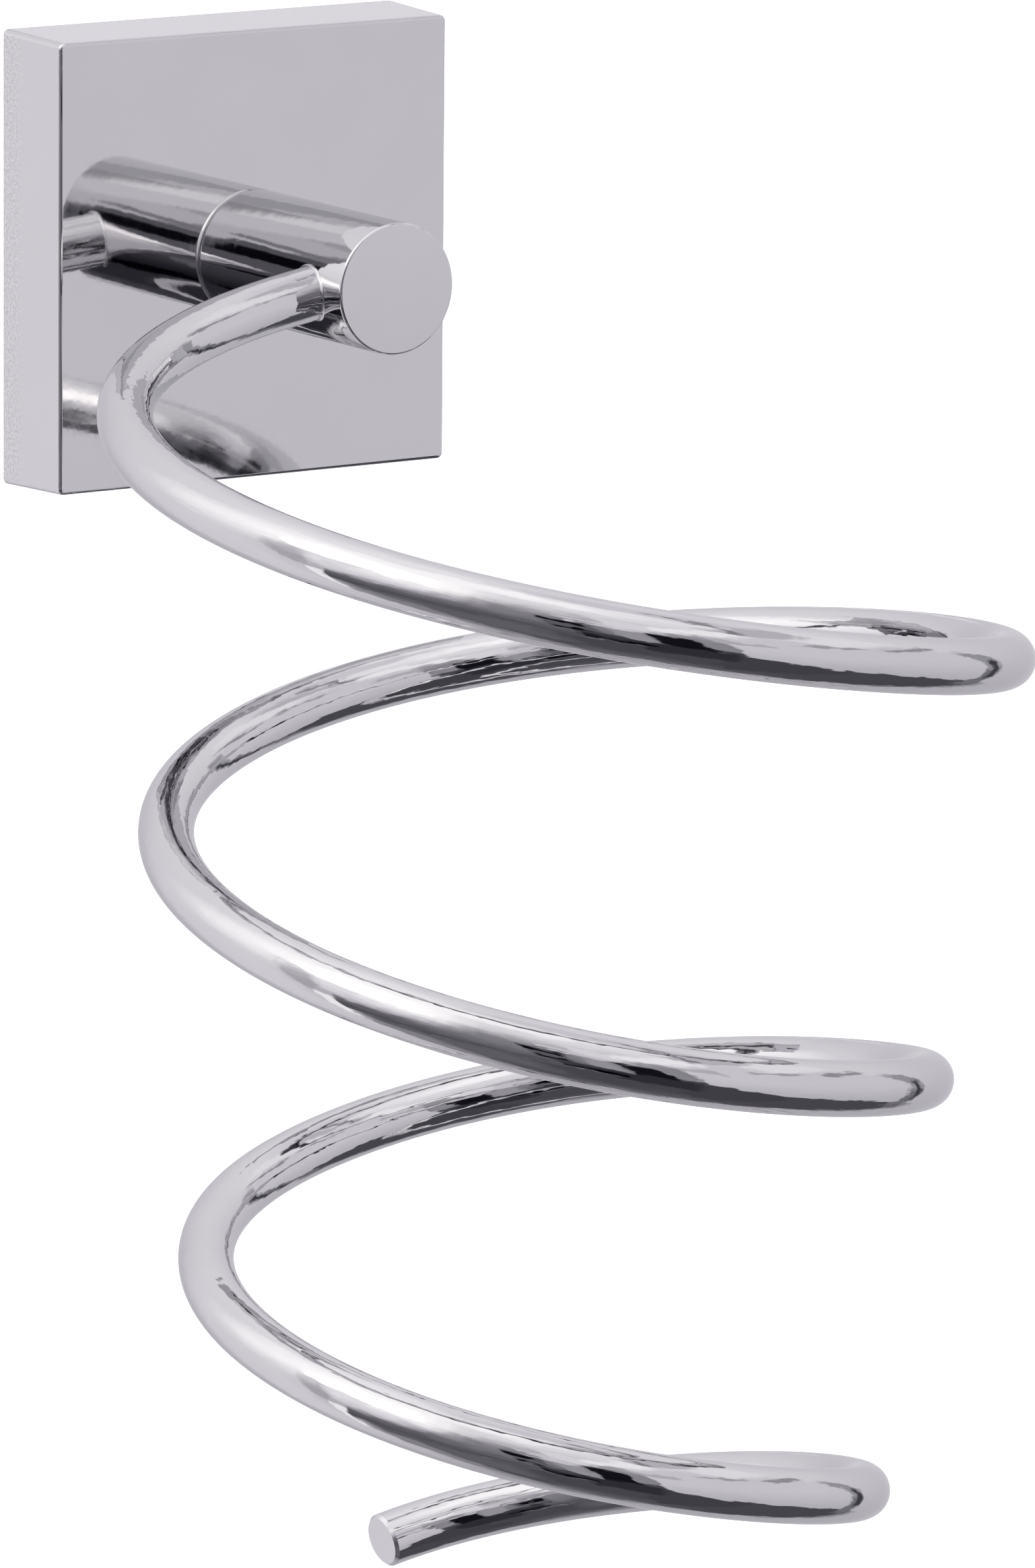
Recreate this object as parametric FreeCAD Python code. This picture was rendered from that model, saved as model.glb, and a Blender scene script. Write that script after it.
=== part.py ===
import FreeCAD, Part
import math
import os

# Hair dryer holder: a coil of round rod that hangs from a post on a square wall rosette.
# The rosette slips over a steel bracket on the wall and is clamped to it by a grub screw from below.
#
# Frame, in millimetres: the origin is on the wall, at the centre of the rosette and midway between
# the bracket's two slots. +Z is up, +X is to the right for someone facing the wall, and the holder
# stands out from the wall along -Y.

# ---- Driving dimensions --------------------------------------------------------------------------

# Rosette: a hollow die-cast square, a little wider at the wall so that it leaves its mould
rosette_side = 50.0
rosette_depth = 11.5
rosette_draft = 0.35
rosette_corner_r = 0.7
rosette_front_r = 0.4
cavity_side = 44.0
cavity_depth = 8.5
cavity_corner_r = 1.0

# Wall bracket: 2 mm steel sheet bent to a channel, with a flange above and a flange below
bracket_sheet = 2.0
bracket_width = 42.0
bracket_top = 21.95
bracket_bottom = -17.5
bracket_reach = 8.0
bracket_bend_r = 1.0
bracket_corner_chamfer = 1.5
slot_spacing = 26.0
slot_length = 8.0
slot_width = 4.6

# Post: a turned bar that screws to the rosette's front
post_d = 14.5
post_length = 29.5
post_end_r = 0.3
post_base_r = 0.6

# M6 button-head screw and split lock washer that hold the post from inside the rosette
m6_d = 6.0
m6_hole_d = 6.4
m6_tapped_d = 6.06
m6_tapped_depth = 14.0
m6_shank = 16.0
m6_head_d = 10.5
m6_head_h = 3.3
m6_head_r = 2.6
m6_end_chamfer = 0.7
m6_socket = 4.0
m6_socket_depth = 2.0
washer_outer_d = 11.8
washer_inner_d = 6.1
washer_thickness = 1.6
washer_gap = 1.2
washer_gap_slant = 30.0

# Grub screw, M5, that clamps the rosette to the bracket's lower flange
m5_d = 5.0
m5_clearance = 0.03
grub_length = 6.0
grub_socket = 2.5
grub_socket_depth = 3.0
grub_cup_d = 2.6
grub_cup_depth = 0.8
grub_chamfer = 0.5
grub_tip_gap = 0.03
grub_y = -5.5
grub_boss_width = 12.0
grub_boss_height = 3.0

# Coil: round rod that leaves the post sideways and winds down anticlockwise as seen from above.
# Its radius shrinks by the taper each turn, and it leans by the nod (about X) and the roll (about Y).
# A spigot of the rod is soldered into the post, and a short straight stub joins it to the coil.
rod_d = 6.0
rod_hole_clearance = 0.03
rod_end_chamfer = 0.35
rod_centre_from_post_end = 6.7
rod_entry_z = -0.9
spigot_length = 8.5
stub_length = 1.5
coil_start_angle = 96.5
coil_turns = 2.979
coil_start_r = 49.5
coil_taper = 5.9
coil_pitch = 45.8
coil_nod = 1.9
coil_roll = 1.0
coil_steps = 60

# Where the hand-wound coil strays from its even pitch and taper: the turn at the middle of the wave,
# how many turns the wave reaches to each side, and how far it goes
coil_rises = ((0.92, 0.38, 2.2), (1.42, 0.24, -0.75), (1.86, 0.18, 0.45))
coil_swells = ((1.67, 0.22, -0.6), (2.66, 0.20, 0.7))
solder_leg = 0.5

# A twist drill's point, as half its cone's angle, and how far a cut runs past the face it opens
drill_half_angle = 59.0
overrun = 1.0

# Differences smaller than this are rounding when edges are looked up
tiny = 1e-3

V = FreeCAD.Vector
X_AXIS = V(1, 0, 0)
Y_AXIS = V(0, 1, 0)
Z_AXIS = V(0, 0, 1)

rosette_front_y = -rosette_depth
cavity_floor_y = -cavity_depth
post_end_y = rosette_front_y - post_length


# ---- Helpers -------------------------------------------------------------------------------------

def box(x, y, z):
    """A box from three (low, high) pairs."""
    return Part.makeBox(x[1] - x[0], y[1] - y[0], z[1] - z[0], V(x[0], y[0], z[0]))


def rod_along(diameter, start, direction, length):
    """A plain cylinder from a point along a direction."""
    return Part.makeCylinder(diameter / 2, length, start, direction)


def square_wire(side, y):
    """A closed square in the plane of one y, centred on the Y axis."""
    h = side / 2
    corners = [V(-h, y, -h), V(h, y, -h), V(h, y, h), V(-h, y, h)]
    return Part.makePolygon(corners + corners[:1])


def drill_point(diameter, start, direction):
    """The cone that a twist drill leaves at the bottom of its hole."""
    radius = diameter / 2
    return Part.makeCone(radius, 0, radius / math.tan(math.radians(drill_half_angle)), start, direction)


def hex_socket(across_flats, start, direction, depth):
    """The cut of a hexagon key: a prism, with a conical bottom as a drill leaves it."""
    across_corners = across_flats / math.cos(math.radians(30))
    turn = FreeCAD.Rotation(Z_AXIS, direction)
    ring = []
    for i in range(6):
        angle = math.radians(60 * i)
        corner = V(math.cos(angle), math.sin(angle), 0) * (across_corners / 2)
        ring.append(start + turn.multVec(corner))
    prism = Part.Face(Part.makePolygon(ring + ring[:1])).extrude(direction * depth)
    return prism.fuse(drill_point(across_flats, start + direction * depth, direction)).removeSplitter()


def edges_along(shape, axis):
    """The straight edges of a shape that run within a few degrees of an axis."""
    found = []
    for edge in shape.Edges:
        if len(edge.Vertexes) == 2:
            span = edge.Vertexes[1].Point - edge.Vertexes[0].Point
            straight = abs(span.Length - edge.Length) < tiny
            if straight and abs(span.dot(axis)) > 0.99 * span.Length:
                found.append(edge)
    return found


def circle_edges(shape, y, diameter):
    """The circular edges of a shape round the Y axis at one y."""
    found = []
    for edge in shape.Edges:
        curve = edge.Curve
        if isinstance(curve, Part.Circle) and abs(curve.Center.y - y) < tiny:
            if abs(curve.Radius - diameter / 2) < tiny:
                found.append(edge)
    return found


# ---- Coil path -----------------------------------------------------------------------------------

def wave(turns, waves):
    """Height of the smooth waves at a number of turns, and how fast it changes per turn."""
    height = 0.0
    change = 0.0
    for middle, reach, peak in waves:
        phase = math.pi * (turns - middle) / reach
        if abs(phase) < math.pi:
            height += peak * (1 + math.cos(phase)) / 2
            change -= peak * math.pi / reach * math.sin(phase) / 2
    return height, change


def coil_point(turns):
    """The rod's centre line after a number of turns, in the coil's own upright frame."""
    rise, _ = wave(turns, coil_rises)
    swell, _ = wave(turns, coil_swells)
    radius = coil_start_r - coil_taper * turns + swell
    angle = math.radians(coil_start_angle + 360 * turns)
    return V(radius * math.cos(angle), radius * math.sin(angle), -coil_pitch * turns + rise)


def coil_tangent(turns):
    """The unit direction of travel down the coil."""
    _, rise_change = wave(turns, coil_rises)
    swell, swell_change = wave(turns, coil_swells)
    angle = math.radians(coil_start_angle + 360 * turns)
    radius = coil_start_r - coil_taper * turns + swell
    outward = (swell_change - coil_taper) / (2 * math.pi)
    down = (rise_change - coil_pitch) / (2 * math.pi)
    along_x = outward * math.cos(angle) - radius * math.sin(angle)
    along_y = outward * math.sin(angle) + radius * math.cos(angle)
    return V(along_x, along_y, down).normalize()


def tangent_arcs(p0, d0, p1, d1):
    """Two arcs that leave p0 along d0, meet smoothly, and reach p1 along d1."""
    span = p1 - p0
    both = d0 + d1
    a = 2 * (1 - d0.dot(d1))
    b = span.dot(both)
    reach = (math.sqrt(b * b + a * span.dot(span)) - b) / a
    q0 = p0 + d0 * reach
    q1 = p1 - d1 * reach
    joint = (q0 + q1) * 0.5
    arcs = []
    for start, corner, end in ((p0, q0, joint), (joint, q1, p1)):
        half_turn = (end - start).getAngle(corner - start)
        middle = (start + end) * 0.5
        bulge = math.tan(half_turn / 2) / math.tan(half_turn)
        arcs.append(Part.Arc(start, middle + (corner - middle) * bulge, end).toShape())
    return arcs


entry = V(-post_d / 2, post_end_y + rod_centre_from_post_end, rod_entry_z)
lean = FreeCAD.Rotation(Y_AXIS, coil_roll).multiply(FreeCAD.Rotation(X_AXIS, coil_nod))
rod_direction = lean.multVec(coil_tangent(0))
coil_origin = entry + rod_direction * stub_length - lean.multVec(coil_point(0))


def placed(point):
    """A point of the upright coil, leaned and moved to where the coil hangs."""
    return coil_origin + lean.multVec(point)


# ---- Parts ---------------------------------------------------------------------------------------

def make_rosette():
    outside = Part.makeLoft([square_wire(rosette_side + 2 * rosette_draft, 0),
                             square_wire(rosette_side, rosette_front_y)], True, True)
    outside = outside.makeFillet(rosette_corner_r, edges_along(outside, Y_AXIS))
    front = [e for e in outside.Edges if abs(e.CenterOfMass.y - rosette_front_y) < tiny]
    outside = outside.makeFillet(rosette_front_r, front)
    h = cavity_side / 2
    cavity = box((-h, h), (cavity_floor_y, overrun), (-h, h))
    cavity = cavity.makeFillet(cavity_corner_r, edges_along(cavity, Y_AXIS))
    w = grub_boss_width / 2
    boss = box((-w, w), (cavity_floor_y - overrun, 0), (-h - overrun, -h + grub_boss_height))
    shell = outside.cut(cavity).fuse(boss).removeSplitter()
    screw_hole = rod_along(m6_hole_d, V(0, rosette_front_y - overrun, 0), Y_AXIS, rosette_depth)
    through = rosette_side - h + grub_boss_height + overrun
    grub_hole = rod_along(m5_d, V(0, grub_y, -rosette_side), Z_AXIS, through)
    return shell.cut(screw_hole).cut(grub_hole)


def make_wall_bracket():
    t = bracket_sheet
    w = bracket_width / 2
    outer = box((-w, w), (-bracket_reach, 0), (bracket_bottom, bracket_top))
    bends = [e for e in edges_along(outer, X_AXIS) if abs(e.CenterOfMass.y) < tiny]
    outer = outer.makeFillet(bracket_bend_r + t, bends)
    inner = box((-w - overrun, w + overrun), (-bracket_reach - overrun, -t),
                (bracket_bottom + t, bracket_top - t))
    bends = [e for e in edges_along(inner, X_AXIS) if abs(e.CenterOfMass.y + t) < tiny]
    inner = inner.makeFillet(bracket_bend_r, bends)
    channel = outer.cut(inner)
    upright = edges_along(channel, Z_AXIS)
    free_corners = [e for e in upright if abs(e.CenterOfMass.y + bracket_reach) < tiny]
    channel = channel.makeChamfer(bracket_corner_chamfer, free_corners)
    for side in (-1, 1):
        channel = channel.cut(slot_cut(side * slot_spacing / 2))
    return channel


def slot_cut(x):
    """A round-ended slot through the bracket's base, along X."""
    half_run = (slot_length - slot_width) / 2
    front = -bracket_sheet - overrun
    through = bracket_sheet + 2 * overrun
    run = box((x - half_run, x + half_run), (front, overrun), (-slot_width / 2, slot_width / 2))
    first = rod_along(slot_width, V(x - half_run, front, 0), Y_AXIS, through)
    last = rod_along(slot_width, V(x + half_run, front, 0), Y_AXIS, through)
    return run.fuse([first, last]).removeSplitter()


def make_post():
    bar = rod_along(post_d, V(0, rosette_front_y, 0), -Y_AXIS, post_length)
    bar = bar.makeFillet(post_end_r, circle_edges(bar, post_end_y, post_d))
    bar = bar.makeFillet(post_base_r, circle_edges(bar, rosette_front_y, post_d))
    tapped = rod_along(m6_tapped_d, V(0, rosette_front_y, 0), -Y_AXIS, m6_tapped_depth)
    tip = drill_point(m6_tapped_d, V(0, rosette_front_y - m6_tapped_depth, 0), -Y_AXIS)
    return bar.cut(tapped.fuse(tip).removeSplitter()).cut(rod_hole())


def rod_hole():
    """The drilled hole in the post's side that the rod is soldered into."""
    start = entry + rod_direction * (2 * stub_length)
    depth = 2 * stub_length + spigot_length + rod_hole_clearance
    return rod_along(rod_d + 2 * rod_hole_clearance, start, -rod_direction, depth)


def make_post_screw():
    under_head = V(0, cavity_floor_y + washer_thickness, 0)
    shank = rod_along(m6_d, under_head, -Y_AXIS, m6_shank)
    shank = shank.makeChamfer(m6_end_chamfer, circle_edges(shank, under_head.y - m6_shank, m6_d))
    head = rod_along(m6_head_d, under_head, Y_AXIS, m6_head_h)
    head = head.makeFillet(m6_head_r, circle_edges(head, under_head.y + m6_head_h, m6_head_d))
    key = hex_socket(m6_socket, under_head + Y_AXIS * m6_head_h, -Y_AXIS, m6_socket_depth)
    return shank.fuse(head).removeSplitter().cut(key)


def make_lock_washer():
    seat = V(0, cavity_floor_y, 0)
    ring = rod_along(washer_outer_d, seat, Y_AXIS, washer_thickness)
    ring = ring.cut(rod_along(washer_inner_d, seat, Y_AXIS, washer_thickness))
    g = washer_gap / 2
    cut_half = washer_thickness / 2 + overrun
    gap = box((-g, g), (-cut_half, cut_half), (0, washer_outer_d))
    gap.rotate(V(0, 0, 0), Z_AXIS, washer_gap_slant)
    gap.translate(seat + Y_AXIS * (washer_thickness / 2))
    return ring.cut(gap)


def make_spiral_rod():
    path = [Part.LineSegment(entry - rod_direction * spigot_length, placed(coil_point(0))).toShape()]
    for step in range(coil_steps):
        a = coil_turns * step / coil_steps
        b = coil_turns * (step + 1) / coil_steps
        path += tangent_arcs(placed(coil_point(a)), lean.multVec(coil_tangent(a)),
                             placed(coil_point(b)), lean.multVec(coil_tangent(b)))
    wire = Part.Wire(path)
    section = Part.Wire([Part.makeCircle(rod_d / 2, entry - rod_direction * spigot_length, rod_direction)])
    rod = wire.makePipeShell([section], True, False)
    cut_end = placed(coil_point(coil_turns))
    circles = [e for e in rod.Edges if isinstance(e.Curve, Part.Circle)]
    rim = [e for e in circles if (e.Curve.Center - cut_end).Length < tiny]
    return rod.makeChamfer(rod_end_chamfer, rim)


def make_solder_fillet():
    """The bead of silver solder in the corner between the post's side and the rod."""
    bar = rod_along(post_d, V(0, rosette_front_y, 0), -Y_AXIS, post_length)
    half_spigot = spigot_length / 2
    rod = rod_along(rod_d, entry - rod_direction * half_spigot, rod_direction, rod_d + half_spigot)
    joined = bar.fuse(rod)
    corner = []
    for edge in joined.Edges:
        middle = edge.valueAt((edge.FirstParameter + edge.LastParameter) / 2)
        on_bar = abs(math.hypot(middle.x, middle.z) - post_d / 2) < tiny
        on_rod = abs(middle.distanceToLine(entry, rod_direction) - rod_d / 2) < tiny
        if on_bar and on_rod:
            corner.append(edge)
    return joined.makeChamfer(solder_leg, corner).cut(joined)


def make_clamp_screw():
    d = m5_d - 2 * m5_clearance
    tip = V(0, grub_y, bracket_bottom - grub_tip_gap)
    screw = rod_along(d, tip, -Z_AXIS, grub_length)
    rims = [e for e in screw.Edges if isinstance(e.Curve, Part.Circle)]
    screw = screw.makeChamfer(grub_chamfer, rims)
    cup = Part.makeCone(grub_cup_d / 2, 0, grub_cup_depth, tip, -Z_AXIS)
    key = hex_socket(grub_socket, tip - Z_AXIS * grub_length, Z_AXIS, grub_socket_depth)
    return screw.cut(cup).cut(key)


PARTS = {
    "wall_bracket": make_wall_bracket,
    "rosette": make_rosette,
    "post": make_post,
    "post_screw": make_post_screw,
    "lock_washer": make_lock_washer,
    "spiral_rod": make_spiral_rod,
    "solder_fillet": make_solder_fillet,
    "clamp_screw": make_clamp_screw,
}

os.makedirs("parts", exist_ok=True)
for name, make in PARTS.items():
    shape = make()
    solids = shape.Solids
    size = shape.BoundBox
    shape.exportStep("parts/" + name + ".step")
    print("%-14s valid %s, %d solid, %.2f mm3, x %.2f..%.2f y %.2f..%.2f z %.2f..%.2f" % (
        name, shape.isValid(), len(solids), shape.Volume,
        size.XMin, size.XMax, size.YMin, size.YMax, size.ZMin, size.ZMax))
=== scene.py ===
import math

import bpy
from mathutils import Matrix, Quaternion, Vector


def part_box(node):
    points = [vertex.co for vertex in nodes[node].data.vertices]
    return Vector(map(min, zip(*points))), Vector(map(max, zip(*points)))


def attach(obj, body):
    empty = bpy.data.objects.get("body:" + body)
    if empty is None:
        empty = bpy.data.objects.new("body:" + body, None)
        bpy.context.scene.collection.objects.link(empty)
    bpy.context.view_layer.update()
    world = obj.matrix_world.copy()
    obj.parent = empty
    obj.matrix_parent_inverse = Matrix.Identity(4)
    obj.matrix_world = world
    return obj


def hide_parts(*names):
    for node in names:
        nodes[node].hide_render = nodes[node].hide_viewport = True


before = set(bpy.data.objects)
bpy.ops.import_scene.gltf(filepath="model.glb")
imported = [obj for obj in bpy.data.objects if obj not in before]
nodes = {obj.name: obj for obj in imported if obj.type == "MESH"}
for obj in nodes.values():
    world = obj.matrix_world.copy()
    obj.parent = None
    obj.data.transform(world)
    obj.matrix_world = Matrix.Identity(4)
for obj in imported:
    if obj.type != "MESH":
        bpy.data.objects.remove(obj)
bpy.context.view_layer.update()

MM = 0.001

# ---- Sizes, in millimetres, as the CAD model has them ---------------------------------------------

rod_r = 3.0
rod_end_chamfer = 0.35
post_r = 7.25
post_end_r = 0.3
post_base_r = 0.6
solder_leg = 0.25

coil_entry = Vector((-7.25, -34.3, -0.9))
coil_start_angle = 96.5
coil_turns = 2.979
coil_start_r = 49.5
coil_taper = 5.9
coil_pitch = 45.8
coil_nod = 1.9
coil_roll = 1.0
coil_stub = 1.5
hidden_spigot = 2.5

# Where the coil strays from its even pitch and taper: the turn at the middle of each wave, how many
# turns the wave reaches to each side, and how far it goes
coil_rises = ((0.92, 0.38, 2.2), (1.42, 0.24, -0.75), (1.86, 0.18, 0.45))
coil_swells = ((1.67, 0.22, -0.6), (2.66, 0.20, 0.7))

# ---- How finely the round pieces are meshed, and how sharp an edge stays sharp -------------------

rod_sides = 56
rings_per_turn = 320
post_sides = 192
solder_sides = 144
arc_steps = 8
sharp_edge = 30.0
bead_sharp_edge = 50.0


def mesh_object(name, points, faces, sharp_angle=sharp_edge):
    """A smooth-shaded mesh object from points in millimetres."""
    mesh = bpy.data.meshes.new(name)
    mesh.from_pydata([Vector(p) * MM for p in points], [], faces)
    mesh.validate()
    mesh.shade_smooth()
    mesh.set_sharp_from_angle(angle=math.radians(sharp_angle))
    thing = bpy.data.objects.new(name, mesh)
    bpy.context.scene.collection.objects.link(thing)
    return thing


def ring_faces(first, second, count):
    """Quads between two rings of points, given the index of each ring's first point."""
    quads = []
    for i in range(count):
        j = (i + 1) % count
        quads.append((first + i, first + j, second + j, second + i))
    return quads


# ---- Coil -----------------------------------------------------------------------------------------

coil_lean = Quaternion((0, 1, 0), math.radians(coil_roll)) @ Quaternion((1, 0, 0), math.radians(coil_nod))


def wave(turns, waves):
    """Height of the smooth waves at a number of turns, and how fast it changes per turn."""
    height = 0.0
    change = 0.0
    for middle, reach, peak in waves:
        phase = math.pi * (turns - middle) / reach
        if abs(phase) < math.pi:
            height += peak * (1 + math.cos(phase)) / 2
            change -= peak * math.pi / reach * math.sin(phase) / 2
    return height, change


def coil_point(turns):
    """The rod's centre line after a number of turns, in the coil's own upright frame."""
    rise, _ = wave(turns, coil_rises)
    swell, _ = wave(turns, coil_swells)
    radius = coil_start_r - coil_taper * turns + swell
    angle = math.radians(coil_start_angle + 360 * turns)
    return Vector((radius * math.cos(angle), radius * math.sin(angle), -coil_pitch * turns + rise))


def coil_tangent(turns):
    """The unit direction of travel down the coil, in the coil's own upright frame."""
    _, rise_change = wave(turns, coil_rises)
    swell, swell_change = wave(turns, coil_swells)
    angle = math.radians(coil_start_angle + 360 * turns)
    radius = coil_start_r - coil_taper * turns + swell
    outward = (swell_change - coil_taper) / (2 * math.pi)
    down = (rise_change - coil_pitch) / (2 * math.pi)
    along_x = outward * math.cos(angle) - radius * math.sin(angle)
    along_y = outward * math.sin(angle) + radius * math.cos(angle)
    return Vector((along_x, along_y, down)).normalized()


rod_direction = coil_lean @ coil_tangent(0)
coil_origin = coil_entry + rod_direction * coil_stub - coil_lean @ coil_point(0)


def rod_stations():
    """Point, direction and radius of each ring of the rod, from inside the post to the cut end."""
    stations = [(coil_entry - rod_direction * hidden_spigot, rod_direction, rod_r)]
    count = round(rings_per_turn * coil_turns)
    for i in range(count + 1):
        turns = coil_turns * i / count
        stations.append((coil_origin + coil_lean @ coil_point(turns), coil_lean @ coil_tangent(turns), rod_r))
    end, direction, radius = stations.pop()
    stations.append((end - direction * rod_end_chamfer, direction, radius))
    stations.append((end, direction, radius - rod_end_chamfer))
    return stations


def make_coiled_rod():
    """The whole rod as one closed tube, with a small chamfer at its cut end.

    Each vertex also keeps where it was on the straight rod, for the marks of drawing and polishing."""
    points = []
    faces = []
    straight = []
    side = None
    before = None
    along = 0.0
    for centre, direction, radius in rod_stations():
        if side is None:
            side = direction.orthogonal()
        else:
            along += (centre - before).length
        before = centre
        side = (side - direction * side.dot(direction)).normalized()
        across = direction.cross(side)
        for i in range(rod_sides):
            angle = 2 * math.pi * i / rod_sides
            points.append(centre + (side * math.cos(angle) + across * math.sin(angle)) * radius)
            straight += [radius * math.cos(angle) * MM, radius * math.sin(angle) * MM, along * MM]
    rings = len(points) // rod_sides
    for ring in range(rings - 1):
        faces += ring_faces(ring * rod_sides, (ring + 1) * rod_sides, rod_sides)
    faces.append(tuple(reversed(range(rod_sides))))
    faces.append(tuple(range((rings - 1) * rod_sides, rings * rod_sides)))
    rod = mesh_object("coiled_rod", points, faces)
    rod.data.attributes.new("straight_rod", "FLOAT_VECTOR", "POINT").data.foreach_set("vector", straight)
    return rod


# ---- Post -----------------------------------------------------------------------------------------

def rounded_corner(radius_at, y_at, corner_r, towards):
    """Points (radius, y) of a rounded corner, from the post's side to its end face."""
    points = []
    for i in range(arc_steps + 1):
        angle = math.pi / 2 * i / arc_steps
        points.append((radius_at - corner_r * (1 - math.cos(angle)),
                       y_at - towards * corner_r * (1 - math.sin(angle))))
    return points


def make_turned_post():
    """The post as a turned bar with its two rounded ends."""
    low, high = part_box("post")
    base_y = high.y / MM
    end_y = low.y / MM
    base = rounded_corner(post_r, base_y, post_base_r, 1)
    end = rounded_corner(post_r, end_y, post_end_r, -1)
    profile = list(reversed(base)) + end
    points = []
    faces = []
    for radius, y in profile:
        for i in range(post_sides):
            angle = 2 * math.pi * i / post_sides
            points.append((radius * math.cos(angle), y, radius * math.sin(angle)))
    rings = len(profile)
    for ring in range(rings - 1):
        faces += ring_faces(ring * post_sides, (ring + 1) * post_sides, post_sides)
    faces.append(tuple(reversed(range(post_sides))))
    faces.append(tuple(range((rings - 1) * post_sides, rings * post_sides)))
    return mesh_object("turned_post", points, faces)


# ---- Solder bead ----------------------------------------------------------------------------------

def on_post(point, direction):
    """Where a line along a direction meets the post's outside, on the rod's side of the post."""
    a = direction.x ** 2 + direction.z ** 2
    b = 2 * (point.x * direction.x + point.z * direction.z)
    c = point.x ** 2 + point.z ** 2 - post_r ** 2
    reach = (-b + math.sqrt(b * b - 4 * a * c)) / (2 * a)
    return point + direction * reach


def make_solder_bead():
    """The concave bead that rings the rod where it enters the post."""
    side = rod_direction.orthogonal().normalized()
    across = rod_direction.cross(side)
    inside = coil_entry - rod_direction * rod_r
    points = []
    faces = []
    for i in range(solder_sides):
        angle = 2 * math.pi * i / solder_sides
        outward = side * math.cos(angle) + across * math.sin(angle)
        corner = on_post(inside + outward * rod_r, rod_direction)
        foot = on_post(inside + outward * (rod_r + solder_leg), rod_direction)
        top = corner + rod_direction * solder_leg
        points.append(corner - rod_direction * solder_leg / 2)
        for step in range(arc_steps + 1):
            t = step / arc_steps
            points.append(foot * (1 - t) ** 2 + corner * (2 * t * (1 - t)) + top * t ** 2)
    section = arc_steps + 2
    for i in range(solder_sides):
        j = (i + 1) % solder_sides
        for k in range(section):
            m = (k + 1) % section
            faces.append((i * section + k, i * section + m, j * section + m, j * section + k))
    return mesh_object("solder_bead", points, faces, bead_sharp_edge)


# ---- Materials ------------------------------------------------------------------------------------

# The part of a noise's values that carries most of its change
noise_low = 0.3
noise_high = 0.7

# What the chrome keeps of its shine where it is seen nearly edge on
chrome_edge_shine = (0.86, 0.86, 0.87, 1)

# The fine mist in the chrome: the size and the depth of its grain, in millimetres
mist_size = 0.35
mist_depth = 0.00004

# The casting's edges and the thickness that its polished outside takes up, in millimetres
casting_edge = 0.1
casting_skin = 0.6


def step_up(tree, value, middle, soft):
    """Goes smoothly from 0 to 1 as the value passes middle."""
    ramp = tree.nodes.new("ShaderNodeMapRange")
    ramp.interpolation_type = "SMOOTHSTEP"
    ramp.inputs["From Min"].default_value = middle - soft
    ramp.inputs["From Max"].default_value = middle + soft
    tree.links.new(value, ramp.inputs["Value"])
    return ramp.outputs["Result"]


def maths(tree, operation, first, second=None):
    """One step of arithmetic on a socket and a second socket or a number."""
    node = tree.nodes.new("ShaderNodeMath")
    node.operation = operation
    tree.links.new(first, node.inputs[0])
    if isinstance(second, (int, float)):
        node.inputs[1].default_value = second
    elif second is not None:
        tree.links.new(second, node.inputs[1])
    return node.outputs[0]


def within(tree, value, low, high, soft):
    """1 between low and high, 0 outside, with soft edges."""
    above = step_up(tree, value, low, soft)
    over = step_up(tree, value, high, soft)
    return maths(tree, "SUBTRACT", above, over)


def new_material(name):
    """An empty material with its node tree, its shader and its object coordinates."""
    material = bpy.data.materials.new(name)
    material.use_nodes = True
    tree = material.node_tree
    shader = tree.nodes["Principled BSDF"]
    place = tree.nodes.new("ShaderNodeTexCoord").outputs["Object"]
    return material, tree, shader, place


def noise(tree, place, size_mm, detail=2.0, stretch=(1, 1, 1)):
    """Noise whose lumps are about size_mm across, stretched along the axes."""
    scaled = tree.nodes.new("ShaderNodeMapping")
    scaled.inputs["Scale"].default_value = [1 / (size_mm * MM * s) for s in stretch]
    texture = tree.nodes.new("ShaderNodeTexNoise")
    texture.inputs["Scale"].default_value = 1.0
    texture.inputs["Detail"].default_value = detail
    tree.links.new(place, scaled.inputs["Vector"])
    tree.links.new(scaled.outputs["Vector"], texture.inputs["Vector"])
    return texture.outputs["Fac"]


def ranged(tree, value, low, high):
    """A value that goes from low to high with the noise."""
    mapped = tree.nodes.new("ShaderNodeMapRange")
    mapped.inputs["From Min"].default_value = noise_low
    mapped.inputs["From Max"].default_value = noise_high
    mapped.inputs["To Min"].default_value = low
    mapped.inputs["To Max"].default_value = high
    tree.links.new(value, mapped.inputs["Value"])
    return mapped.outputs["Result"]


def tinted(tree, value, dark, light):
    """A colour that goes from dark to light with the noise."""
    node = tree.nodes.new("ShaderNodeMix")
    node.data_type = "RGBA"
    node.inputs["A"].default_value = (*dark, 1)
    node.inputs["B"].default_value = (*light, 1)
    tree.links.new(ranged(tree, value, 0.0, 1.0), node.inputs["Factor"])
    return node.outputs["Result"]


def bumped(tree, value, depth_mm, normal=None):
    """A bump of a height in millimetres, on top of another normal if there is one."""
    bump = tree.nodes.new("ShaderNodeBump")
    bump.inputs["Strength"].default_value = 1.0
    bump.inputs["Distance"].default_value = depth_mm * MM
    tree.links.new(value, bump.inputs["Height"])
    if normal is not None:
        tree.links.new(normal, bump.inputs["Normal"])
    return bump.outputs["Normal"]


def blended(tree, cover, first, second):
    """The second colour over the first."""
    node = tree.nodes.new("ShaderNodeMix")
    node.data_type = "RGBA"
    tree.links.new(cover, node.inputs["Factor"])
    tree.links.new(first, node.inputs["A"])
    tree.links.new(second, node.inputs["B"])
    return node.outputs["Result"]


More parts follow.
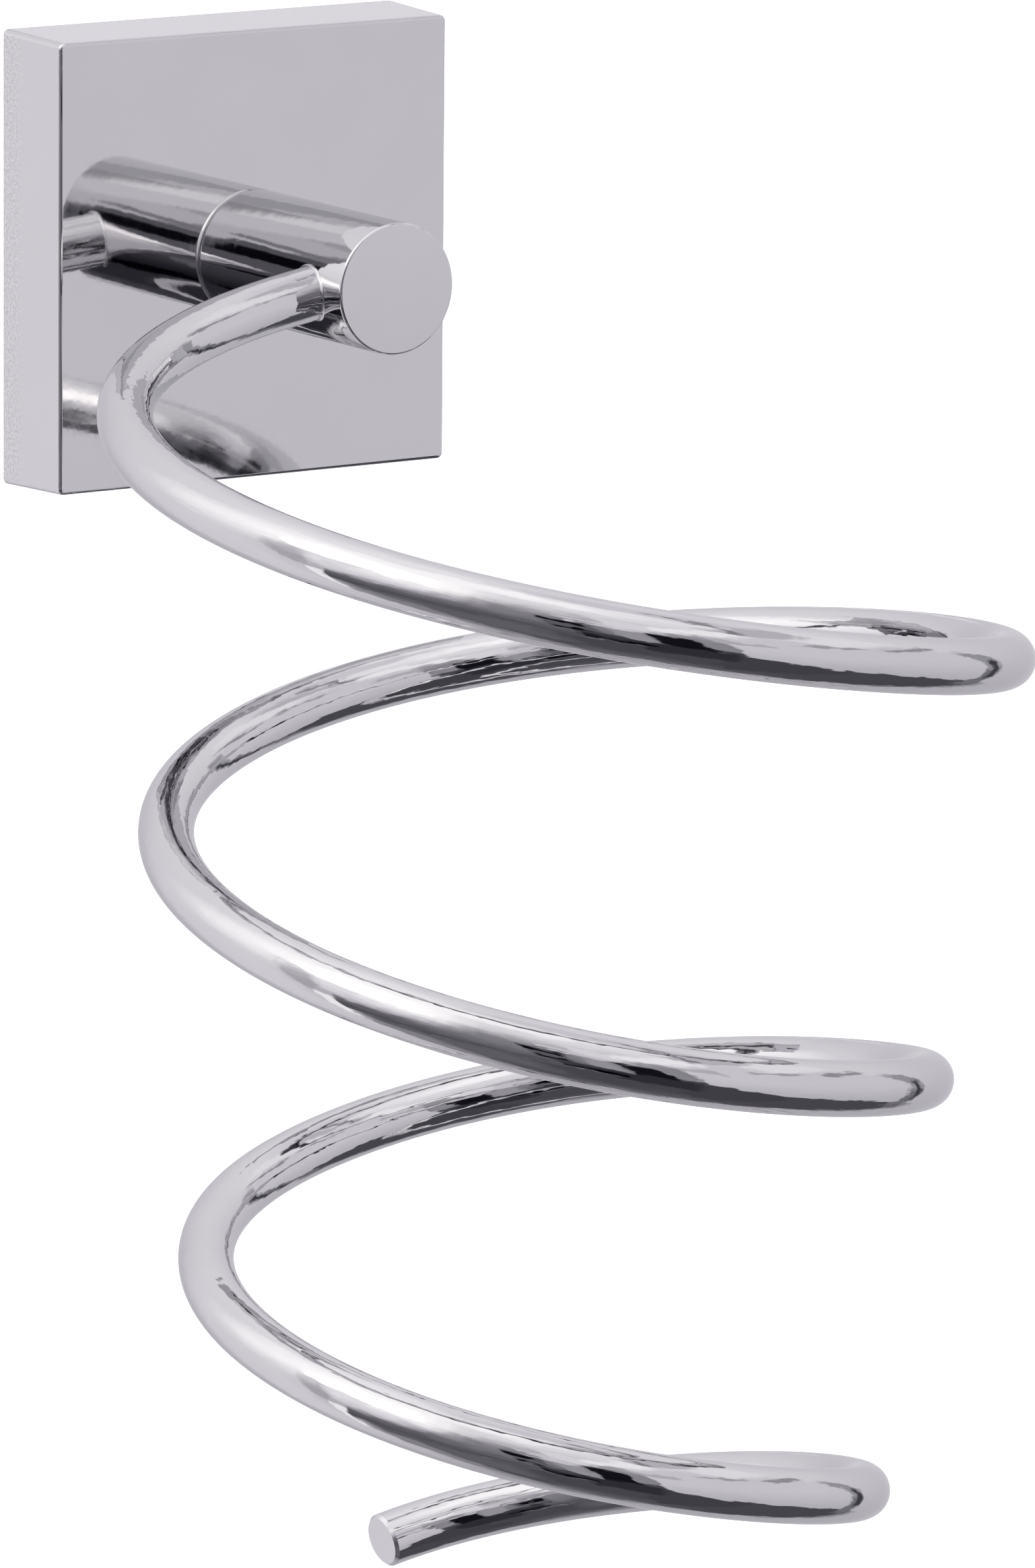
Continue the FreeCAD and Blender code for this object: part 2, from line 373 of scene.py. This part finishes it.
def cast_finish(tree, place, colour, haze, half_mm, depth_mm):
    """A plated square casting: fine grain on its sides, and dull inside, where nothing was polished."""
    split = tree.nodes.new("ShaderNodeSeparateXYZ")
    tree.links.new(place, split.inputs["Vector"])
    across = maths(tree, "ABSOLUTE", split.outputs["X"])
    up = maths(tree, "ABSOLUTE", split.outputs["Z"])
    reach = maths(tree, "MAXIMUM", across, up)
    soft = casting_edge * MM
    on_side = step_up(tree, reach, (half_mm - casting_edge) * MM, soft / 2)
    specks = noise(tree, place, 0.32, detail=1.0)
    grain = tinted(tree, specks, (0.615, 0.609, 0.620), (0.815, 0.806, 0.821))
    behind_front = step_up(tree, split.outputs["Y"], (casting_skin - depth_mm) * MM, soft)
    off_side = within(tree, reach, -half_mm * MM, (half_mm - casting_skin) * MM, soft)
    inside = maths(tree, "MULTIPLY", behind_front, off_side)
    raw = noise(tree, place, 1.6, detail=4.0)
    colour = blended(tree, on_side, colour, grain)
    colour = blended(tree, inside, colour, tinted(tree, raw, (0.52, 0.52, 0.53), (0.62, 0.62, 0.63)))
    dull = maths(tree, "MULTIPLY", inside, ranged(tree, raw, 0.26, 0.40))
    return colour, maths(tree, "ADD", haze, dull)


def chrome(name, ripple_mm, ripple_depth_mm, haze, streaks=None, casting=None):
    """Polished chrome plate: nearly a mirror, with slow ripples and a faint fine haze.

    Streaks are lengthwise marks under the plate: the attribute that holds the straight rod's
    coordinates, then the width, length and depth of each kind in millimetres. A square casting's
    half width and depth place its sides and its inside."""
    material, tree, shader, place = new_material(name)
    shader.inputs["Metallic"].default_value = 1.0
    shader.inputs["Specular Tint"].default_value = chrome_edge_shine
    cloud = noise(tree, place, 9.0, detail=3.0)
    colour = tinted(tree, cloud, (0.712, 0.704, 0.718), (0.730, 0.722, 0.736))
    fog = ranged(tree, noise(tree, place, 1.3, detail=4.0), haze * 0.7, haze * 1.3)
    if casting is not None:
        colour, fog = cast_finish(tree, place, colour, fog, *casting)
    tree.links.new(colour, shader.inputs["Base Color"])
    tree.links.new(fog, shader.inputs["Roughness"])
    normal = bumped(tree, noise(tree, place, ripple_mm, detail=1.0), ripple_depth_mm)
    normal = bumped(tree, noise(tree, place, mist_size, detail=1.0), mist_depth, normal)
    if streaks is not None:
        attribute, kinds = streaks
        straight = tree.nodes.new("ShaderNodeAttribute")
        straight.attribute_name = attribute
        for width, length, depth in kinds:
            marks = noise(tree, straight.outputs["Vector"], width, detail=1.0, stretch=(1, 1, length / width))
            normal = bumped(tree, marks, depth, normal)
    tree.links.new(normal, shader.inputs["Normal"])
    return material


def plated_steel(name, dark, light, lump_mm, roughness, stretch=(1, 1, 1)):
    """Zinc plated or machined steel: mottled, with fine scratches that run along the stretch."""
    scratch_width_mm = 0.25
    scratch_depth_mm = 0.004
    material, tree, shader, place = new_material(name)
    shader.inputs["Metallic"].default_value = 1.0
    mottle = noise(tree, place, lump_mm, detail=5.0)
    tree.links.new(tinted(tree, mottle, dark, light), shader.inputs["Base Color"])
    scratches = noise(tree, place, scratch_width_mm, detail=3.0, stretch=stretch)
    tree.links.new(ranged(tree, scratches, roughness - 0.08, roughness + 0.10), shader.inputs["Roughness"])
    tree.links.new(bumped(tree, scratches, scratch_depth_mm), shader.inputs["Normal"])
    return material


def paint(thing, material):
    """Gives an object one material in place of those it has."""
    thing.data.materials.clear()
    thing.data.materials.append(material)


# ---- Pieces ---------------------------------------------------------------------------------------

# Width, length and depth of the rod's lengthwise marks, in millimetres
drawing_marks = ((1.3, 5.0, 0.045), (0.42, 2.4, 0.017))

rod_chrome = chrome("rod_chrome", ripple_mm=2.2, ripple_depth_mm=0.022, haze=0.04,
                    streaks=("straight_rod", drawing_marks))
bead_chrome = chrome("bead_chrome", ripple_mm=2.2, ripple_depth_mm=0.02, haze=0.06)
post_chrome = chrome("post_chrome", ripple_mm=2.4, ripple_depth_mm=0.02, haze=0.04)
rosette_low, rosette_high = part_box("rosette")
rosette_chrome = chrome("rosette_chrome", ripple_mm=0.9, ripple_depth_mm=0.0010, haze=0.04,
                        casting=(rosette_high.x / MM, -rosette_low.y / MM))
bracket_zinc = plated_steel("bracket_zinc", (0.50, 0.50, 0.47), (0.68, 0.68, 0.65),
                            lump_mm=3.0, roughness=0.38, stretch=(12, 1, 1))
screw_zinc = plated_steel("screw_zinc", (0.55, 0.55, 0.52), (0.72, 0.72, 0.69), lump_mm=1.2, roughness=0.30)
grub_steel = plated_steel("grub_steel", (0.30, 0.30, 0.31), (0.46, 0.46, 0.47), lump_mm=0.8, roughness=0.34)

coiled_rod = make_coiled_rod()
turned_post = make_turned_post()
solder_bead = make_solder_bead()
for piece, node, slot, material in ((coiled_rod, "spiral_rod", "chrome_rod", rod_chrome),
                                    (turned_post, "post", "chrome_post", post_chrome),
                                    (solder_bead, "solder_fillet", "chrome_rod", bead_chrome)):
    paint(piece, material)
    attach(piece, "holder")
    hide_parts(node)

paint(nodes["rosette"], rosette_chrome)
paint(nodes["wall_bracket"], bracket_zinc)
paint(nodes["post_screw"], screw_zinc)
paint(nodes["lock_washer"], screw_zinc)
paint(nodes["clamp_screw"], grub_steel)

# ---- Studio ---------------------------------------------------------------------------------------

# How much of its light chrome gives back, so that a card's level is how it looks in the chrome
chrome_gives_back = 0.72
white_level = 255
screen_gamma = 2.2

# A card's faint tint: a little more red than green, and some blue that fades in the brightest cards
more_red = 1.008
added_blue = 5
bright_level = 200
blue_fade = 10


def card_colour(level):
    """The light of a card that looks this light in chrome, from 0 for black to 255 for white."""
    red = level * more_red
    blue = level + added_blue - max(level - bright_level, 0) / blue_fade
    return [(v / white_level) ** screen_gamma / chrome_gives_back for v in (red, level, blue)] + [1.0]


def mixed(tree, cover, behind, colour):
    """One colour over another; each is a socket or the level of a card."""
    node = tree.nodes.new("ShaderNodeMix")
    node.data_type = "RGBA"
    tree.links.new(cover, node.inputs["Factor"])
    for name, value in (("A", behind), ("B", colour)):
        if isinstance(value, (int, float)):
            node.inputs[name].default_value = card_colour(value)
        else:
            tree.links.new(value, node.inputs[name])
    return node.outputs["Result"]


def graded(tree, angle, low, high, low_level, high_level):
    """A colour that goes from one level to another as an angle goes from low to high."""
    return mixed(tree, step_up(tree, angle, (low + high) / 2, (high - low) / 2), low_level, high_level)


def card(tree, behind, angles, azimuth, height, colour, soft=(2, 2), strength=1.0):
    """A card in front of what is behind it, between two azimuths and two heights, with soft edges."""
    across = within(tree, angles[0], azimuth[0], azimuth[1], soft[0])
    up = within(tree, angles[1], height[0], height[1], soft[1])
    cover = maths(tree, "MULTIPLY", maths(tree, "MULTIPLY", across, up), strength)
    return mixed(tree, cover, behind, colour)


def leaning(tree, angles, climb=0.0, lean=0.0):
    """The angles for a card whose level edges climb with azimuth, or whose upright edges lean with height."""
    climbed = maths(tree, "MULTIPLY", angles[0], climb)
    leant = maths(tree, "MULTIPLY", angles[1], lean)
    return maths(tree, "SUBTRACT", angles[0], leant), maths(tree, "SUBTRACT", angles[1], climbed)


def studio_angles(tree):
    """Azimuth and height of a direction, in degrees.

    Azimuth 0 is in front of the wall and 90 is to the right."""
    direction = tree.nodes.new("ShaderNodeTexCoord").outputs["Generated"]
    split = tree.nodes.new("ShaderNodeSeparateXYZ")
    tree.links.new(direction, split.inputs["Vector"])
    towards_front = maths(tree, "MULTIPLY", split.outputs["Y"], -1.0)
    azimuth = maths(tree, "DEGREES", maths(tree, "ARCTAN2", split.outputs["X"], towards_front))
    height = maths(tree, "DEGREES", maths(tree, "ARCSINE", split.outputs["Z"]))
    return azimuth, height


def make_studio():
    """The light tent round the object, as it shows in the chrome.

    Pale paper is behind and above, diffusers are in front, and a dark table is below. A card's first
    pair is its azimuths, the second its heights, in degrees. Later cards cover the earlier ones."""
    world = bpy.data.worlds.new("studio")
    world.use_nodes = True
    bpy.context.scene.world = world
    tree = world.node_tree
    angles = studio_angles(tree)
    round_about = (-400, 400)

    # The paper behind, lighter towards its top
    look = graded(tree, angles[1], -80, 80, 163, 212)
    # The white ceiling, dimmer towards the right
    look = card(tree, look, angles, round_about, (64, 120), 226, soft=(4, 14))
    look = card(tree, look, angles, (-140, 22), (66, 120), 243, soft=(24, 10))
    look = card(tree, look, angles, (70, 128), (52, 80), 194, soft=(14, 8))
    # The paper at the left and at the right, behind the diffusers
    look = card(tree, look, angles, (-172, -110), (-60, 44), 206, soft=(16, 20), strength=0.8)
    look = card(tree, look, angles, (141, 153), (8, 14), 214, soft=(3, 2))
    # The dark table below and in front
    look = card(tree, look, angles, (-102, 105), (-120, -32), 70, soft=(9, 1.2))
    look = card(tree, look, angles, (-100, -45), (-66, -32), 92, soft=(10, 8))
    look = card(tree, look, angles, (-114, -88), (-76, -42), 126, soft=(7, 6))
    look = card(tree, look, angles, round_about, (-120, -78), 92, soft=(4, 14))
    # The left diffuser: dim below and in front, lit by its lamp towards the upper left
    dim = graded(tree, angles[1], -36, 14, 74, 122)
    dim = mixed(tree, step_up(tree, angles[1], 36, 24), dim, 214)
    towards_lamp = leaning(tree, angles, climb=0.8)[1]
    left_part = within(tree, angles[0], -200, -52, 8)
    lamplight = maths(tree, "MULTIPLY", step_up(tree, towards_lamp, 57, 16), left_part)
    lamplight = maths(tree, "MULTIPLY", lamplight, step_up(tree, angles[1], -7, 7))
    lit = mixed(tree, lamplight, dim, graded(tree, angles[1], 0, 28, 200, 238))
    tilted = leaning(tree, angles, lean=0.45)
    look = card(tree, look, angles, (-109, -98), (-18, 28), 160, soft=(2, 6))
    look = card(tree, look, angles, (-95, -78), (8, 32), 218, soft=(2, 6))
    look = card(tree, look, tilted, (-91, 12), (-32, 62), lit, soft=(1.2, 1.5))
    # The left diffuser's outer edge
    edge = graded(tree, angles[1], -10, 6, 172, 208)
    look = card(tree, look, tilted, (-97, -91), (-46, -15), 228, soft=(1, 3))
    look = card(tree, look, tilted, (-97, -91), (-15, 12), edge, soft=(1, 4))
    # The lamp itself, with its glow
    look = card(tree, look, angles, (-146, -104), (14, 74), 238, soft=(16, 18))
    look = card(tree, look, angles, (-122, -46), (34, 72), 250, soft=(14, 12))
    look = card(tree, look, angles, (-103, -62), (30, 62), 300, soft=(6, 4))
    # The big diffuser at the right, and the bright and dark strips along its top
    even = graded(tree, angles[1], -45, 12, 168, 192)
    look = card(tree, look, angles, (11.5, 91), (-32, 46), even, soft=(1, 1))
    look = card(tree, look, angles, (36, 96), (48, 58), 172, soft=(6, 2))
    look = card(tree, look, angles, (58, 104), (36, 48), 214, soft=(6, 3))
    rising = leaning(tree, angles, climb=0.42)
    look = card(tree, look, rising, (-6, 38), (29, 41), 226, soft=(3, 3))
    look = card(tree, look, rising, (40, 72), (31.5, 34.5), 120, soft=(4, 1))
    look = card(tree, look, angles, (68, 106), (60, 63), 132, soft=(5, 1))
    look = card(tree, look, angles, (44, 67), (31.5, 35.5), 150, soft=(4, 1))
    look = card(tree, look, angles, (72, 97), (26.5, 31), 138, soft=(3, 1))
    look = card(tree, look, angles, (11, 27), (20, 29), 167, soft=(0.8, 1))
    # The table's end in front of the right diffuser, and the dark seam beside it
    falling = leaning(tree, angles, climb=-0.45)
    look = card(tree, look, falling, (5, 44), (-60, -15), 64, soft=(2, 1))
    look = card(tree, look, angles, (91, 100), (-38, -8), 108, soft=(1, 3))
    look = card(tree, look, angles, (92, 100.5), (-10, 20), 142, soft=(1, 4))
    look = card(tree, look, angles, (95, 98.5), (-26, 4), 62, soft=(0.8, 3))
    # The gap between the diffusers, open to the dark room
    look = card(tree, look, angles, (-30, -7), (13, 31), 188, soft=(1, 1.5))
    look = card(tree, look, angles, (-17, -3), (22, 44), 206, soft=(2, 4))
    look = card(tree, look, angles, (-21, -11), (-16, 14), 142, soft=(1.5, 3))
    look = card(tree, look, angles, (-12, 10), (-20, 18), 130, soft=(1.5, 2))
    look = card(tree, look, angles, (-2, 11), (-22, -8), 74, soft=(1, 2))
    look = card(tree, look, angles, (-10.5, 2.5), (-22, 17), 24, soft=(0.7, 2))
    look = card(tree, look, angles, (-18, 9), (-44, -15), 48, soft=(2.5, 4))
    # The camera and its stand
    look = card(tree, look, angles, (-38, -25), (-14, 16.9), 88, soft=(1, 0.5))
    look = card(tree, look, angles, (-34, -22), (18.9, 21.8), 124, soft=(1, 0.8))
    look = card(tree, look, angles, (-38, -27), (4.0, 12.6), 16, soft=(0.7, 0.8))
    look = card(tree, look, angles, (-37, -27), (-11, -7.2), 18, soft=(0.7, 0.5))
    stand = graded(tree, angles[1], -27, -12, 30, 64)
    look = card(tree, look, angles, (-33, -15), (-29.5, -11), stand, soft=(0.8, 0.8))
    look = card(tree, look, angles, (-26, -14), (-30, -25.2), 8, soft=(0.8, 0.5))

    # Plain white straight behind the object
    seen = tree.nodes.new("ShaderNodeLightPath").outputs["Is Camera Ray"]
    white = tree.nodes.new("ShaderNodeMix")
    white.data_type = "RGBA"
    white.inputs["B"].default_value = (1, 1, 1, 1)
    tree.links.new(seen, white.inputs["Factor"])
    tree.links.new(look, white.inputs["A"])
    tree.links.new(white.outputs["Result"], tree.nodes["Background"].inputs["Color"])


def make_floor():
    """A plain pale floor well below the holder, which hangs on a wall."""
    half = 12.0
    drop = 0.30
    pale = 0.9
    glow = 0.7
    mesh = bpy.data.meshes.new("floor")
    corners = [(-half, -half, -drop), (half, -half, -drop), (half, half, -drop), (-half, half, -drop)]
    mesh.from_pydata(corners, [], [(0, 1, 2, 3)])
    floor = bpy.data.objects.new("floor", mesh)
    bpy.context.scene.collection.objects.link(floor)
    material, _, shader, _ = new_material("floor_white")
    shader.inputs["Base Color"].default_value = (pale, pale, pale, 1)
    shader.inputs["Roughness"].default_value = 0.9
    shader.inputs["Specular IOR Level"].default_value = 0.0
    shader.inputs["Emission Color"].default_value = (1, 1, 1, 1)
    shader.inputs["Emission Strength"].default_value = glow
    paint(floor, material)
    floor.visible_glossy = False


def make_camera():
    """A long lens in front of the holder, from its left and a little above."""
    sight = Vector((0.53464, 0.82306, -0.19163)).normalized()
    roll = Quaternion((0, 0, 1), math.radians(0.47))
    data = bpy.data.cameras.new("camera")
    data.lens = 281.7
    data.sensor_width = 36.0
    data.clip_start = 0.05
    data.clip_end = 60.0
    camera = bpy.data.objects.new("camera", data)
    camera.rotation_mode = "QUATERNION"
    camera.rotation_quaternion = sight.to_track_quat("-Z", "Y") @ roll
    camera.location = (-0.70635, -1.15322, 0.20262)
    bpy.context.scene.collection.objects.link(camera)
    bpy.context.scene.camera = camera


make_studio()
make_floor()
make_camera()
bpy.context.scene.view_settings.view_transform = "Standard"
